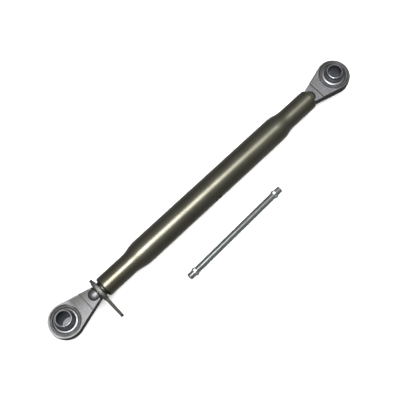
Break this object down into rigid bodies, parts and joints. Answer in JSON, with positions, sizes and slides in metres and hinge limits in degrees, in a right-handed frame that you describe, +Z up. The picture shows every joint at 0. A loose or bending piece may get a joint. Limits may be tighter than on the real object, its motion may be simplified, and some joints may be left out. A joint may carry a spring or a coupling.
{
  "type": "tractor top link",
  "caption": "Turnbuckle link with forged ball ends, swaged barrel, lock nut with lever and a loose tommy bar; turning the barrel sets its length.",
  "frame": {"origin": "centre of the ball at the lock nut's end, in the middle of its pin bore", "axes": "+X along the link towards the plain end, +Z up along the plain end's pin bore, +Y away from the tommy bar"},
  "size_m": [0.754, 0.1316, 0.0538],
  "materials": {
    "drawn_tube": "dark bright-drawn tube with a thin film of oil",
    "forged_end": "shot-blasted forging, matte and speckled",
    "ball_steel": "turned and hardened, dark satin",
    "nut_steel": "turned, zinc plated",
    "lever_steel": "cut plate, dull",
    "plated_bar": "drawn bar, zinc plated"
  },
  "bodies": {
    "nut_end": {"nut_end_eye": "forged_end"},
    "lock_nut": {"lock_nut": "nut_steel"},
    "lock_lever": {"lock_lever": "lever_steel"},
    "barrel": {"barrel": "drawn_tube"},
    "plain_end": {"plain_end_eye": "forged_end"},
    "nut_end_ball": {"nut_end_ball": "ball_steel"},
    "plain_end_ball": {"plain_end_ball": "ball_steel"},
    "tommy_bar": {"tommy_bar": "plated_bar"}
  },
  "joints": [
    {"name": "barrel_turn", "type": "hinge", "parent": "lock_nut", "child": "barrel", "pos_m": [0.3535, 0, 0], "axis": [1, 0, 0], "range_deg": [0, 12240]},
    {"name": "lock_nut_travel", "type": "slide", "parent": "nut_end", "child": "lock_nut", "axis": [1, 0, 0], "range_m": [0, 0.1195]},
    {"name": "plain_end_travel", "type": "slide", "parent": "nut_end", "child": "plain_end", "axis": [1, 0, 0], "range_m": [0, 0.2385]},
    {"name": "lock_lever_turn", "type": "hinge", "parent": "lock_nut", "child": "lock_lever", "pos_m": [0.0781, 0, 0], "axis": [1, 0, 0], "range_deg": [-215, 345]},
    {"name": "nut_end_ball_swivel", "type": "hinge", "parent": "nut_end", "child": "nut_end_ball", "pos_m": [0, 0, 0], "axis": [1, 0, 0], "range_deg": [-9, 21]},
    {"name": "plain_end_ball_swivel", "type": "hinge", "parent": "plain_end", "child": "plain_end_ball", "pos_m": [0.688, 0, 0], "axis": [1, 0, 0], "range_deg": [-15, 15]},
    {"name": "tommy_bar_lift", "type": "slide", "parent": "nut_end", "child": "tommy_bar", "axis": [0, 0, 1], "range_m": [0, 0.15]}
  ],
  "couplings": [
    {"joint": "lock_nut_travel", "follows": "barrel_turn", "m_per_rad": 0.00055704},
    {"joint": "plain_end_travel", "follows": "barrel_turn", "m_per_rad": 0.0011141}
  ]
}
